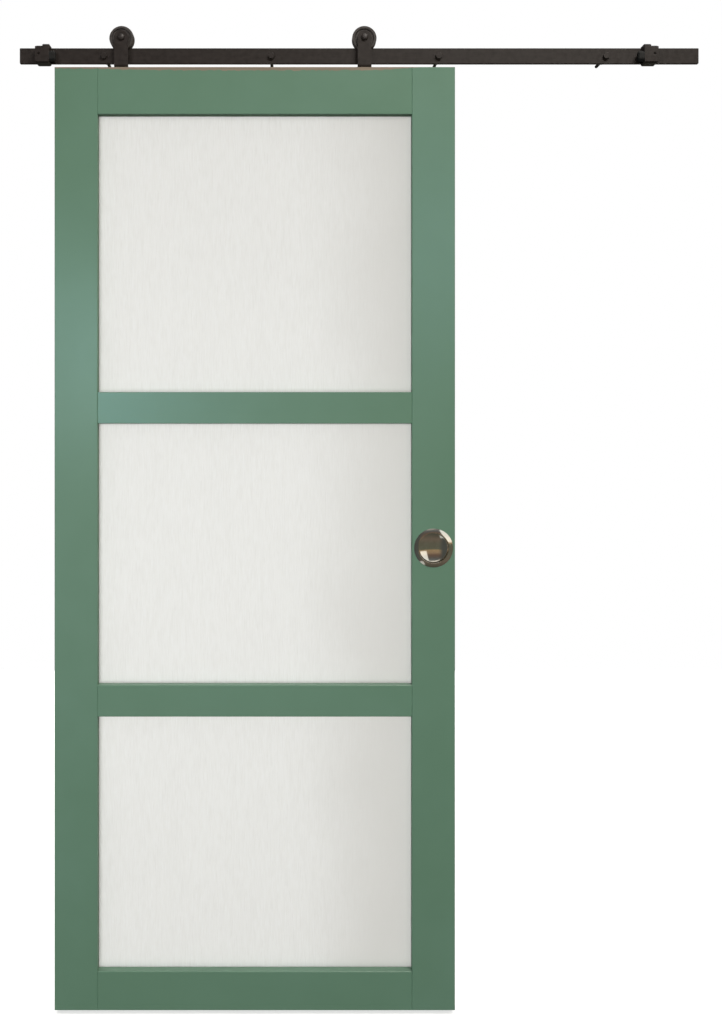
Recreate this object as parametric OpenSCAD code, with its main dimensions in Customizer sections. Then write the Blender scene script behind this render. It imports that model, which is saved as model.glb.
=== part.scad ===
// Sliding glazed door on a flat wall track.
// X runs along the track, +Y points into the wall, +Z is up. The origin lies on
// the wall plane, midway along the row of wall screws, at mid-height of the track.

/* [Leaf] */
// Height of the door leaf
leaf_h = 2040; // [1900:1:2200]
// Width of the door leaf
leaf_w = 866; // [760:1:960]
// Thickness of the door leaf
leaf_t = 40; // [38:1:46]
// Width of each stile
stile_w = 93; // [90:1:110]
// Height of the top rail
top_rail_h = 102; // [80:1:130]
// Height of each of the two middle rails
mid_rail_h = 68; // [60:1:90]
// Height of the bottom rail
bottom_rail_h = 84; // [70:1:130]
// Clear height of the lower opening
lower_open_h = 551; // [450:1:600]
// Clear height of the middle opening
middle_open_h = 566; // [450:1:600]
// Chamfer on the long edges of stiles and rails
arris = 1; // [0.5:0.1:2]
// Diameter of the dowels in the frame joints
dowel_d = 10; // [8:0.5:12]
// Length of the dowels
dowel_len = 70; // [50:1:70]
// Distance from a dowel's axis to the edge of its rail's core
dowel_inset = 11; // [8:0.5:12]
// Radial clearance of the dowels in their holes
dowel_fit = 0.1; // [0.05:0.05:0.3]

/* [Glazing] */
// Thickness of the frame in front of the glazing
front_lip = 17; // [14:0.5:20]
// Depth of the rebate behind the sight line, across the frame
rebate_w = 9; // [8:0.5:10]
// Thickness of the panes
glass_t = 5; // [4:0.5:6]
// Wall of the U gasket around each pane
gasket_t = 1.5; // [1:0.1:2]
// Clearance between the gasket and the floor of the rebate
glazing_fit = 0.5; // [0.3:0.1:0.9]
// How far the gasket stays back from the sight line
gasket_back = 1.5; // [0.5:0.1:3]
// Chamfer along the inner edge of the glazing beads
bead_chamfer = 5; // [2:0.5:6]
// Clearance between the beads and the rebate
bead_fit = 0.2; // [0.1:0.05:0.5]

/* [Flush pulls] */
// Height of the pulls above the bottom of the leaf
pull_h = 1000; // [850:1:1150]
// Outer diameter of the flange
pull_flange_d = 84; // [74:1:88]
// Diameter of the mouth of the cup
pull_mouth_d = 65; // [55:1:66]
// Depth of the cup at its middle
pull_depth = 13; // [11.5:0.5:14]
// Slope of the bowl where it meets the corner, in degrees
pull_slope = 25; // [15:1:26]
// Sheet thickness of the cup
pull_wall = 1.2; // [0.8:0.1:1.6]
// Thickness of the flange at its rim
pull_rim_t = 0.8; // [0.5:0.1:1.5]
// Crown of the flange above its rim
pull_crown = 2.2; // [1.2:0.1:2.6]
// Arc over which the flange is crowned, in degrees
pull_crown_arc = 60; // [30:5:90]
// Rounding where the flange turns into the cup
pull_lip = 0.8; // [0.5:0.1:1.2]
// Radius between the wall and the bowl of the cup
pull_fillet = 4; // [2:0.5:5]
// Clearance of the cup in its bore
pull_fit = 0.3; // [0.1:0.05:0.6]

/* [Track] */
// Length of the track
track_len = 1480; // [1400:1:1800]
// Height of the flat bar
track_h = 34; // [30:1:45]
// Thickness of the flat bar
track_t = 6; // [5:0.5:8]
// Chamfer on the edges of the bar
track_arris = 0.6; // [0.3:0.1:1.2]
// Number of wall screws
screw_count = 4; // [4:2:6]
// Spacing of the wall screws
screw_pitch = 365; // [340:1:380]
// From the left end of the track to the first screw
screw_start = 183.5; // [120:0.5:200]
// Length of the spacers between track and wall
spacer_len = 27; // [24:1:34]
// Diameter of the spacers
spacer_d = 15; // [14:0.5:17]
// Diameter of the plain shank of the wall screws
screw_d = 8; // [6:0.5:8]
// Diameter of the threaded end of the wall screws
thread_d = 7.2; // [5:0.1:7.4]
// Length of the threaded end behind the wall plane
thread_len = 40; // [35:1:70]
// Length of the point of the wall screws
screw_point = 7; // [4:0.5:10]
// Width across flats of the screw heads
screw_head_af = 13; // [10:0.5:14]
// Height of the screw heads
screw_head_h = 4; // [3:0.1:4.5]
// Radial clearance of the screws in bar and spacers
screw_fit = 0.5; // [0.2:0.1:0.8]

/* [Hangers] */
// Gap between the underside of the track and the top of the leaf
hang_gap = 13; // [10:0.5:20]
// From the left end of the track to the left edge of the leaf
leaf_start = 80; // [40:1:160]
// From the left edge of the leaf to the left axle
left_inset = 142.5; // [135:0.5:220]
// From the right edge of the leaf to the right axle
right_inset = 195; // [135:0.5:260]
// Width of the hanger strap
strap_w = 30; // [28:0.5:36]
// Thickness of the hanger strap
strap_t = 5; // [4:0.5:6]
// Inner radius of the bend into the foot
bend_r = 3; // [2:0.5:5]
// Length of the foot, measured from the front of the strap
foot_len = 31; // [30:0.5:33]
// Radius of the corners at the end of the foot
foot_round = 4; // [2:0.5:6]
// Diameter of the foot screws
foot_screw_d = 4.5; // [4:0.5:5]
// Length of the foot screws
foot_screw_len = 45; // [35:1:60]
// Diameter of the countersunk heads
foot_head_d = 9; // [8:0.5:10]
// Height of the countersunk heads
foot_head_h = 2.6; // [2:0.1:3]
// Distance from the end of the foot to the rear screw
foot_screw_end = 6.5; // [5.5:0.5:8]
// Spacing of the two foot screws
foot_screw_pitch = 12; // [10.5:0.5:13]
// Clearance around the foot screws
foot_screw_fit = 0.1; // [0.05:0.05:0.3]

/* [Wheels] */
// Outer diameter of the wheels
wheel_d = 53; // [50:0.5:54]
// Diameter at the bottom of the groove
groove_d = 40; // [34:0.5:42]
// Width of the wheels
wheel_w = 16; // [14:0.5:20]
// Width at the bottom of the groove
groove_w = 7.5; // [7:0.1:9]
// Extra half width of the groove at the rim
groove_flare = 0.5; // [0:0.1:1]
// Inner diameter of the raised rim
rim_inner_d = 42; // [40:0.5:44]
// Chamfer on the edges of the rim
rim_ease = 1; // [0.5:0.1:1.5]
// How far the web is set back from the rim
web_recess = 2; // [1:0.1:2.5]
// Running gap between the groove and the track
roll_gap = 0.25; // [0.2:0.05:0.4]
// Gap between a wheel and its strap
strap_gap = 1; // [0.6:0.1:2]
// Diameter of the axle bolts
axle_d = 10; // [8:0.5:10]
// Diameter of the domed axle heads
axle_head_d = 16; // [12:0.5:18]
// Height of the domed axle heads
axle_head_h = 4.4; // [2.5:0.1:5]
// Width across flats of the axle nuts
axle_nut_af = 16; // [15:0.5:17]
// Height of the axle nuts
axle_nut_h = 8; // [6:0.5:8]
// Length of bolt that stands out of the nut
axle_tail = 1.5; // [0.5:0.1:3]
// Outer diameter of the spacers beside the bearing
collar_d = 14; // [13:0.5:15]

/* [Bearings] */
// Outer diameter of the bearings
bearing_d = 26; // [25:0.5:28]
// Width of the bearings
bearing_w = 8; // [7:0.5:9]
// Outer diameter of the inner ring
inner_ring_d = 15.2; // [14.6:0.1:15.6]
// Inner diameter of the outer ring
outer_ring_d = 21.2; // [20.8:0.1:22]
// Diameter of the balls
ball_d = 4.7; // [4:0.1:5]
// Number of balls
ball_count = 8; // [6:1:9]
// Clearance of the fixed fits and of the balls in their races
bearing_fit = 0.05; // [0.02:0.01:0.1]

/* [End stops] */
// From the left end of the track to the left stop
left_stop_start = 37; // [10:1:60]
// From the right end of the track to the right stop
right_stop_start = 93; // [10:1:120]
// Length of a stop along the track
stop_w = 30; // [28:0.5:36]
// Length of the raised lip along the track
stop_lip_w = 14; // [10:0.5:18]
// Height of the lip above the body of the stop
stop_lip_h = 3.5; // [2:0.5:5]
// Chamfer on the top edges of the lip
stop_lip_ease = 1; // [0.5:0.1:1.5]
// Wall of the stop above the track
stop_roof = 2; // [1.5:0.1:3]
// Wall of the stop below the track
stop_floor = 2.5; // [2:0.1:4]
// Wall of the stop behind the track
stop_back = 3; // [2:0.1:5]
// How far the stop stands in front of the strap
stop_proud = 4; // [3.5:0.1:6]
// Chamfer on the edges of the stop
stop_chamfer = 2.5; // [1:0.1:3]
// Depth of the slope along the top front edge of the stop
stop_slope_t = 6; // [4:0.5:8]
// Drop of the slope along the top front edge of the stop
stop_slope_h = 3.5; // [2:0.5:5]
// Clearance between the stop and the track
stop_fit = 0.1; // [0.05:0.05:0.2]
// Length of the rubber bumper
bumper_len = 13; // [11:0.5:16]
// Width of the rubber bumper
bumper_w = 13; // [10:0.5:13]
// Height of the rubber bumper
bumper_h = 22; // [18:0.5:24]
// How far the bumper sits below the middle of the track
bumper_drop = 4; // [2:0.5:6]
// Rounding at the tip of the bumper
bumper_round = 2; // [1:0.5:3]
// Diameter of the stem that holds the bumper
stem_d = 6; // [5:0.5:7]
// Length of the stem
stem_len = 8; // [6:0.5:10]
// Clearance around stem and set screw
stem_fit = 0.1; // [0.05:0.05:0.2]
// Diameter of the set screw
set_screw_d = 6; // [5:0.5:8]
// How far the set screw lies below the face of the stop
set_screw_sunk = 0.8; // [0.3:0.1:1.5]
// Width across flats of the set screw's socket
set_socket_af = 3; // [2.5:0.5:4]
// Depth of the set screw's socket
set_socket_depth = 3; // [2:0.5:4]

/* [Hidden] */
$fn = 96;
hull_fn = 32;
arc_steps = 8;
over = 1;

leaf_green = [0.42, 0.55, 0.46];
pale_glass = [0.90, 0.90, 0.88, 0.9];
gasket_grey = [0.30, 0.30, 0.29];
bare_wood = [0.72, 0.60, 0.44];
iron_black = [0.20, 0.18, 0.18];
steel_grey = [0.62, 0.62, 0.62];
zinc_grey = [0.70, 0.70, 0.68];
nickel = [0.66, 0.62, 0.55];
rubber_black = [0.10, 0.10, 0.10];

// Track and wall screws
first_screw_x = -screw_pitch * (screw_count - 1) / 2;
track_left = first_screw_x - screw_start;
track_right = track_left + track_len;
track_y = -spacer_len - track_t / 2;
track_front = track_y - track_t / 2;
track_top = track_h / 2;

// Leaf
leaf_left = track_left + leaf_start;
leaf_right = leaf_left + leaf_w;
leaf_top = -track_top - hang_gap;
leaf_bottom = leaf_top - leaf_h;
leaf_front = track_y - leaf_t / 2;
leaf_back = track_y + leaf_t / 2;
open_left = leaf_left + stile_w;
open_w = leaf_w - 2 * stile_w;
open_mid = open_left + open_w / 2;
lower_open_z = leaf_bottom + bottom_rail_h;
lower_mid_z = lower_open_z + lower_open_h;
middle_open_z = lower_mid_z + mid_rail_h;
upper_mid_z = middle_open_z + middle_open_h;
upper_open_z = upper_mid_z + mid_rail_h;
top_rail_z = leaf_top - top_rail_h;
upper_open_h = top_rail_z - upper_open_z;
OPENINGS = [
    [lower_open_z, lower_open_h],
    [middle_open_z, middle_open_h],
    [upper_open_z, upper_open_h],
];
// Lowest and highest dowel of each rail, kept inside the rail's unrebated core
DOWEL_ROWS = [
    [leaf_bottom + dowel_inset, lower_open_z - rebate_w - dowel_inset],
    [lower_mid_z + rebate_w + dowel_inset, middle_open_z - rebate_w - dowel_inset],
    [upper_mid_z + rebate_w + dowel_inset, upper_open_z - rebate_w - dowel_inset],
    [top_rail_z + rebate_w + dowel_inset, leaf_top - dowel_inset],
];

// Glazing, from the front of the leaf to the back
gasket_front = leaf_front + front_lip;
glass_front = gasket_front + gasket_t;
bead_front = glass_front + glass_t + gasket_t;
bead_depth = leaf_back - bead_front;
pane_lap = rebate_w - glazing_fit - gasket_t;

// Flush pulls
pull_x = leaf_right - stile_w / 2;
pull_z = leaf_bottom + pull_h;
mouth_r = pull_mouth_d / 2;
flange_r = pull_flange_d / 2;
cup_r = mouth_r + pull_wall;
cup_depth = pull_depth + pull_wall;
corner_r = mouth_r - pull_fillet;
bowl_r = (corner_r + pull_fillet * sin(pull_slope)) / sin(pull_slope);
corner_depth = pull_depth - bowl_r * (1 - cos(pull_slope)) - pull_fillet * cos(pull_slope);

// Hangers and wheels
left_axle_x = leaf_left + left_inset;
right_axle_x = leaf_right - right_inset;
axle_z = track_top + groove_d / 2 + roll_gap;
strap_back = track_y - wheel_w / 2 - strap_gap;
strap_front = strap_back - strap_t;
bend_outer_r = bend_r + strap_t;
foot_end = strap_front + foot_len;
foot_top = leaf_top + strap_t;
bearing_front = track_y - bearing_w / 2;
bearing_back = track_y + bearing_w / 2;
nut_front = bearing_back + (bearing_front - strap_back);
nut_back = nut_front + axle_nut_h;
ball_ring_r = (inner_ring_d + outer_ring_d) / 4;

// End stops
stop_front = strap_front - stop_proud;
stop_rear = track_y + track_t / 2 + stop_back;
bumper_y = strap_back - strap_t / 2;
bumper_z = -bumper_drop;
stop_top = track_top + stop_roof;
stop_bottom = -track_top - stop_floor;
left_stop_x = track_left + left_stop_start + stop_w;
right_stop_x = track_right - right_stop_start - stop_w;

// Shared shapes

// Radius over the corners of a hexagon of a given width across flats
function hex_r(af) = af / sqrt(3);

// Rectangle from the origin with all four corners chamfered
module chamfered_rect(w, h, c) {
    polygon([[c, 0], [w - c, 0], [w, c], [w, h - c], [w - c, h], [c, h], [0, h - c], [0, c]]);
}

// Slot shape of width w and height h, centred, with round ends above and below
module slot_shape(w, h) {
    square([w, h - w], center = true);
    for (side = [-1, 1]) translate([0, side * (h - w) / 2]) circle(d = w);
}

// Raises a shape drawn in X and Z, from y0 towards +Y
module along_y(y0, depth) {
    translate([0, y0 + depth, 0]) rotate([90, 0, 0]) linear_extrude(depth) children();
}

// Sweeps a shape drawn in Y and Z, from x0 towards +X
module along_x(x0, length) {
    translate([x0, 0, 0]) rotate([90, 0, 90]) linear_extrude(length) children();
}

// Cylinder along +Y from y0
module rod_y(d, y0, length) {
    translate([0, y0, 0]) rotate([-90, 0, 0]) cylinder(d = d, h = length);
}

// Ring of revolution about the Y axis at the middle of the track
module turned_y() {
    translate([0, track_y, 0]) rotate([-90, 0, 0]) rotate_extrude() children();
}

// Leaf

// Square-edged timber with chamfers along its length and across the faces of its ends
module timber(x, z, w, h) {
    intersection() {
        translate([x, leaf_front, z]) linear_extrude(h) chamfered_rect(w, leaf_t, arris);
        along_x(x, w) translate([leaf_front, z]) chamfered_rect(leaf_t, h, arris);
    }
}

// Pocket that receives pane, gasket and beads, cut from the back of the frame
module rebates() {
    for (opening = OPENINGS)
        translate([open_left - rebate_w, gasket_front, opening[0] - rebate_w])
            cube([open_w + 2 * rebate_w, leaf_t, opening[1] + 2 * rebate_w]);
}

module dowel_row(d, length) {
    for (row = DOWEL_ROWS, z = row, x = [open_left, open_left + open_w])
        translate([x - length / 2, track_y, z]) rotate([0, 90, 0]) cylinder(d = d, h = length);
}

module dowel_holes() {
    dowel_row(dowel_d + 2 * dowel_fit, dowel_len + 2 * dowel_fit);
}

module rail(z, h) {
    color(leaf_green) difference() {
        timber(open_left, z, open_w, h);
        rebates();
        dowel_holes();
    }
}

module left_stile() {
    color(leaf_green) difference() {
        timber(leaf_left, leaf_bottom, stile_w, leaf_h);
        rebates();
        dowel_holes();
    }
}

module right_stile() {
    bore_d = 2 * (cup_r + pull_fit);
    bore_depth = cup_depth + pull_fit;
    color(leaf_green) difference() {
        timber(leaf_right - stile_w, leaf_bottom, stile_w, leaf_h);
        rebates();
        dowel_holes();
        translate([pull_x, 0, pull_z]) rod_y(bore_d, leaf_front - over, bore_depth + over);
        translate([pull_x, 0, pull_z]) rod_y(bore_d, leaf_back - bore_depth, bore_depth + over);
    }
}

module top_rail() {
    color(leaf_green) difference() {
        rail(top_rail_z, top_rail_h);
        for (x = [left_axle_x, right_axle_x]) translate([x, 0, 0]) foot_screw_set(foot_screw_fit);
    }
}

module upper_mid_rail() { rail(upper_mid_z, mid_rail_h); }
module lower_mid_rail() { rail(lower_mid_z, mid_rail_h); }
module bottom_rail() { rail(leaf_bottom, bottom_rail_h); }
module rail_dowels() { color(bare_wood) dowel_row(dowel_d, dowel_len); }

// Glazing

// Box around an opening, grown past the sight line by lap on every side
module opening_box(opening, lap, y0, depth) {
    translate([open_left - lap, y0, opening[0] - lap])
        cube([open_w + 2 * lap, depth, opening[1] + 2 * lap]);
}

module pane(opening) {
    color(pale_glass) opening_box(opening, pane_lap, glass_front, glass_t);
}

// U-section strip that wraps all four edges of the pane
module gasket(opening) {
    color(gasket_grey) difference() {
        opening_box(opening, pane_lap + gasket_t, gasket_front, glass_t + 2 * gasket_t);
        opening_box(opening, pane_lap, glass_front, glass_t);
        opening_box(opening, gasket_back, gasket_front - over, leaf_t);
    }
}

// Mitred bead: length along X, width inwards along +Y, depth from the pane along +Z
module bead_strip(length) {
    width = rebate_w - bead_fit;
    half = length / 2;
    c = bead_chamfer;
    difference() {
        linear_extrude(bead_depth)
            polygon([[-half, 0], [half, 0], [half - width, width], [width - half, width]]);
        translate([-half, width, bead_depth]) rotate([90, 0, 90]) linear_extrude(length)
            polygon([[-c, 0], [0, -c], [over, -c], [over, over], [-c, over]]);
    }
}

// Bead on one side of an opening: turn 0 is the top, 90 right, 180 bottom, 270 left
module bead(opening, turn) {
    upright = turn == 90 || turn == 270;
    out_w = open_w + 2 * (rebate_w - bead_fit);
    out_h = opening[1] + 2 * (rebate_w - bead_fit);
    reach = (upright ? out_w : out_h) / 2;
    color(leaf_green) translate([open_mid, bead_front, opening[0] + opening[1] / 2]) rotate([0, turn, 0])
        translate([0, 0, reach]) rotate([-90, 0, 0]) bead_strip(upright ? out_h : out_w);
}

module lower_pane() { pane(OPENINGS[0]); }
module middle_pane() { pane(OPENINGS[1]); }
module upper_pane() { pane(OPENINGS[2]); }
module lower_gasket() { gasket(OPENINGS[0]); }
module middle_gasket() { gasket(OPENINGS[1]); }
module upper_gasket() { gasket(OPENINGS[2]); }
module lower_top_bead() { bead(OPENINGS[0], 0); }
module lower_right_bead() { bead(OPENINGS[0], 90); }
module lower_bottom_bead() { bead(OPENINGS[0], 180); }
module lower_left_bead() { bead(OPENINGS[0], 270); }
module middle_top_bead() { bead(OPENINGS[1], 0); }
module middle_right_bead() { bead(OPENINGS[1], 90); }
module middle_bottom_bead() { bead(OPENINGS[1], 180); }
module middle_left_bead() { bead(OPENINGS[1], 270); }
module upper_top_bead() { bead(OPENINGS[2], 0); }
module upper_right_bead() { bead(OPENINGS[2], 90); }
module upper_bottom_bead() { bead(OPENINGS[2], 180); }
module upper_left_bead() { bead(OPENINGS[2], 270); }

// Flush pulls

// Line of the cup from its mouth to its middle, pushed out by a sheet thickness for the back
function cup_line(out) = concat(
    [for (i = [0 : arc_steps]) let (a = (90 - pull_slope) * i / arc_steps)
        [corner_r + (pull_fillet + out) * cos(a), -corner_depth - (pull_fillet + out) * sin(a)]],
    [for (i = [1 : arc_steps]) let (a = pull_slope * (1 - i / arc_steps))
        [(bowl_r + out) * sin(a), bowl_r - pull_depth - (bowl_r + out) * cos(a)]]
);

// Half section of the spun cup: radius along X, height above the door face along Y
module pull_section() {
    lip_r = mouth_r + pull_lip;
    lip_y = pull_rim_t + pull_crown - pull_lip;
    rise = pull_crown / sin(pull_crown_arc);
    flange = [for (i = [0 : arc_steps]) let (t = i / arc_steps)
        [flange_r - t * (flange_r - lip_r), pull_rim_t + rise * sin(pull_crown_arc * t)]];
    lip = [for (i = [1 : arc_steps]) let (a = 90 * i / arc_steps)
        [lip_r - pull_lip * sin(a), lip_y + pull_lip * cos(a)]];
    back = cup_line(pull_wall);
    outside = [for (i = [len(back) - 1 : -1 : 0]) back[i]];
    polygon(concat(flange, lip, cup_line(0), outside, [[cup_r, 0], [flange_r, 0]]));
}

module flush_pull() {
    color(nickel) rotate_extrude() pull_section();
}

module front_flush_pull() {
    translate([pull_x, leaf_front, pull_z]) rotate([90, 0, 0]) flush_pull();
}

module rear_flush_pull() {
    translate([pull_x, leaf_back, pull_z]) rotate([-90, 0, 0]) flush_pull();
}

// Track

module at_screws() {
    for (i = [0 : screw_count - 1]) translate([first_screw_x + i * screw_pitch, 0, 0]) children();
}

module track_bar() {
    color(iron_black) difference() {
        intersection() {
            along_x(track_left, track_len) translate([track_front, -track_top])
                chamfered_rect(track_t, track_h, track_arris);
            along_y(track_front, track_t) translate([track_left, -track_top])
                chamfered_rect(track_len, track_h, 2 * track_arris);
        }
        at_screws() rod_y(screw_d + 2 * screw_fit, track_front - over, track_t + 2 * over);
    }
}

module track_spacers() {
    color(iron_black) at_screws() difference() {
        rod_y(spacer_d, -spacer_len, spacer_len);
        rod_y(screw_d + 2 * screw_fit, -spacer_len - over, spacer_len + 2 * over);
    }
}

// Wall screw with a chamfered hexagon head, plain shank and pointed threaded end
module wall_screw() {
    head_r = hex_r(screw_head_af);
    shank_front = track_front - screw_head_h / 2;
    shank = [[0, shank_front], [screw_d / 2, shank_front], [screw_d / 2, 0]];
    thread = [[thread_d / 2, 0], [thread_d / 2, thread_len - screw_point], [0, thread_len]];
    translate([0, track_front - screw_head_h, 0]) rotate([-90, 0, 0]) intersection() {
        cylinder(r = head_r, h = screw_head_h, $fn = 6);
        cylinder(r1 = screw_head_af / 2, r2 = screw_head_af / 2 + screw_head_h, h = screw_head_h);
    }
    rotate([-90, 0, 0]) rotate_extrude() polygon(concat(shank, thread));
}

module track_screws() {
    color(iron_black) at_screws() wall_screw();
}

// End stops, drawn with the inboard face at x = 0 and the bumper towards +X

module left_end() { translate([left_stop_x, 0, 0]) children(); }
module right_end() { translate([right_stop_x, 0, 0]) mirror([1, 0, 0]) children(); }

module stop_outline() {
    c = stop_chamfer;
    ease = stop_lip_ease;
    lip_top = stop_top + stop_lip_h;
    polygon([
        [-c, stop_bottom], [0, stop_bottom + c],
        [0, lip_top - ease], [-ease, lip_top], [ease - stop_lip_w, lip_top], [-stop_lip_w, lip_top - ease],
        [-stop_lip_w, stop_top], [c - stop_w, stop_top], [-stop_w, stop_top - c],
        [-stop_w, stop_bottom + c], [c - stop_w, stop_bottom],
    ]);
}

// Side of the stop up to a given height, sloped along the top front edge
module stop_side_outline(top) {
    c = stop_chamfer;
    polygon([
        [stop_front, stop_bottom + c], [stop_front + c, stop_bottom], [stop_rear, stop_bottom],
        [stop_rear, top], [stop_front + stop_slope_t, top], [stop_front, top - stop_slope_h],
    ]);
}

module stop_body() {
    slot_h = track_h + 2 * stop_fit;
    slot_t = track_t + 2 * stop_fit;
    color(iron_black) difference() {
        intersection() {
            along_y(stop_front, stop_rear - stop_front) stop_outline();
            union() {
                along_x(-stop_w, stop_w) stop_side_outline(stop_top);
                along_x(-stop_lip_w, stop_lip_w) stop_side_outline(stop_top + stop_lip_h);
            }
        }
        translate([-stop_w - over, track_y - slot_t / 2, -slot_h / 2])
            cube([stop_w + 2 * over, slot_t, slot_h]);
        set_screw_place() rod_y(set_screw_d + 2 * stem_fit, stop_front - over, track_y - stop_front + over);
        bumper_place() translate([-stem_len - stem_fit, 0, 0]) rotate([0, 90, 0])
            cylinder(d = stem_d + 2 * stem_fit, h = stem_len + over);
    }
}

module bumper_place() { translate([0, bumper_y, bumper_z]) children(); }
module set_screw_place() { translate([-(stop_w + stop_lip_w) / 2, 0, 0]) children(); }

module stop_bumper() {
    tip_w = bumper_w - 2 * bumper_round;
    tip_h = bumper_h - 2 * bumper_round;
    color(rubber_black) bumper_place() {
        hull() {
            along_x(0, bumper_len - bumper_round) slot_shape(bumper_w, bumper_h, $fn = hull_fn);
            along_x(0, bumper_len) slot_shape(tip_w, tip_h, $fn = hull_fn);
        }
        translate([-stem_len, 0, 0]) rotate([0, 90, 0]) cylinder(d = stem_d, h = stem_len);
    }
}

module stop_screw() {
    head = stop_front + set_screw_sunk;
    color(iron_black) set_screw_place() difference() {
        rod_y(set_screw_d, head, track_front - head);
        translate([0, head - over, 0]) rotate([-90, 0, 0])
            cylinder(r = hex_r(set_socket_af), h = set_socket_depth + over, $fn = 6);
    }
}

module left_stop_body() { left_end() stop_body(); }
module left_stop_bumper() { left_end() stop_bumper(); }
module left_stop_screw() { left_end() stop_screw(); }
module right_stop_body() { right_end() stop_body(); }
module right_stop_bumper() { right_end() stop_bumper(); }
module right_stop_screw() { right_end() stop_screw(); }

// Hangers, drawn with the axle above x = 0

// Pair of countersunk screws down through the foot; grow widens them into their holes
module foot_screw_set(grow) {
    head_d = foot_head_d + 2 * grow;
    body_d = foot_screw_d + 2 * grow;
    for (i = [0, 1]) translate([0, foot_end - foot_screw_end - i * foot_screw_pitch, foot_top])
        mirror([0, 0, 1]) {
            cylinder(d1 = head_d, d2 = body_d, h = foot_head_h);
            cylinder(d = body_d, h = foot_screw_len + grow);
        }
}

module strap_bend_shape() {
    translate([strap_front + bend_outer_r, leaf_top + bend_outer_r]) intersection() {
        difference() {
            circle(bend_outer_r);
            circle(bend_r);
        }
        translate([-bend_outer_r, -bend_outer_r]) square(bend_outer_r);
    }
    translate([strap_front + bend_outer_r, leaf_top]) square([foot_len - bend_outer_r, strap_t]);
}

// Plan of the strap's lower end, with round corners at the end of the foot
module foot_outline() {
    inset = strap_w / 2 - foot_round;
    hull() {
        translate([-strap_w / 2, strap_front]) square([strap_w, strap_t]);
        for (side = [-1, 1]) translate([side * inset, foot_end - foot_round]) circle(foot_round);
    }
}

module hanger_strap() {
    upright_z = leaf_top + bend_outer_r;
    color(iron_black) difference() {
        union() {
            along_y(strap_front, strap_t) {
                translate([-strap_w / 2, upright_z]) square([strap_w, axle_z - upright_z]);
                translate([0, axle_z]) circle(d = strap_w);
            }
            intersection() {
                along_x(-strap_w / 2, strap_w) strap_bend_shape();
                translate([0, 0, leaf_top]) linear_extrude(bend_outer_r) foot_outline();
            }
        }
        translate([0, 0, axle_z]) rod_y(axle_d + 2 * bearing_fit, strap_front - over, strap_t + 2 * over);
        foot_screw_set(foot_screw_fit);
    }
}

module foot_screws() { color(zinc_grey) foot_screw_set(0); }

module axle_bolt() {
    dome = [for (i = [0 : arc_steps]) let (a = 90 * i / arc_steps)
        [axle_head_d / 2 * cos(a), axle_head_h * sin(a)]];
    color(iron_black) translate([0, 0, axle_z]) {
        translate([0, strap_front, 0]) rotate([90, 0, 0]) rotate_extrude() polygon(concat(dome, [[0, 0]]));
        rod_y(axle_d, strap_front, nut_back + axle_tail - strap_front);
    }
}

module axle_nut() {
    color(zinc_grey) translate([0, 0, axle_z]) difference() {
        translate([0, nut_front, 0]) rotate([-90, 0, 0]) intersection() {
            cylinder(r = hex_r(axle_nut_af), h = axle_nut_h, $fn = 6);
            cylinder(r1 = axle_nut_af / 2 + axle_nut_h, r2 = axle_nut_af / 2, h = axle_nut_h);
        }
        rod_y(axle_d + 2 * bearing_fit, nut_front - over, axle_nut_h + 2 * over);
    }
}

// Two plain collars that hold the bearing's inner ring away from strap and nut
module axle_collars() {
    length = bearing_front - strap_back;
    color(zinc_grey) translate([0, 0, axle_z]) for (y0 = [strap_back, bearing_back]) difference() {
        rod_y(collar_d, y0, length);
        rod_y(axle_d + 2 * bearing_fit, y0 - over, length + 2 * over);
    }
}

module race_shape() {
    translate([ball_ring_r, 0]) circle(d = ball_d + 2 * bearing_fit);
}

module ring_shape(inner_r, outer_r) {
    translate([inner_r, -bearing_w / 2]) square([outer_r - inner_r, bearing_w]);
}

module bearing_inner_ring() {
    color(steel_grey) translate([0, 0, axle_z]) turned_y() difference() {
        ring_shape(axle_d / 2 + bearing_fit, inner_ring_d / 2);
        race_shape();
    }
}

module bearing_outer_ring() {
    color(steel_grey) translate([0, 0, axle_z]) turned_y() difference() {
        ring_shape(outer_ring_d / 2, bearing_d / 2);
        race_shape();
    }
}

module bearing_balls() {
    color(steel_grey) translate([0, track_y, axle_z]) for (i = [0 : ball_count - 1])
        rotate([0, 360 * i / ball_count, 0]) translate([ball_ring_r, 0, 0]) sphere(d = ball_d);
}

// Half section of the grooved wheel: radius along X, width along Y
module wheel_section() {
    bore_r = bearing_d / 2 + bearing_fit;
    outer_r = wheel_d / 2;
    rim_r = rim_inner_d / 2;
    half_w = wheel_w / 2;
    web = half_w - web_recess;
    groove_lip = groove_w / 2 + groove_flare;
    right = [
        [bore_r, web], [rim_r - web_recess / 2, web], [rim_r, half_w],
        [outer_r - rim_ease, half_w], [outer_r, half_w - rim_ease],
        [outer_r, groove_lip], [groove_d / 2, groove_w / 2],
    ];
    left = [for (i = [len(right) - 1 : -1 : 0]) [right[i][0], -right[i][1]]];
    polygon(concat(right, left));
}

module wheel() {
    color(iron_black) translate([0, 0, axle_z]) turned_y() wheel_section();
}

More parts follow.
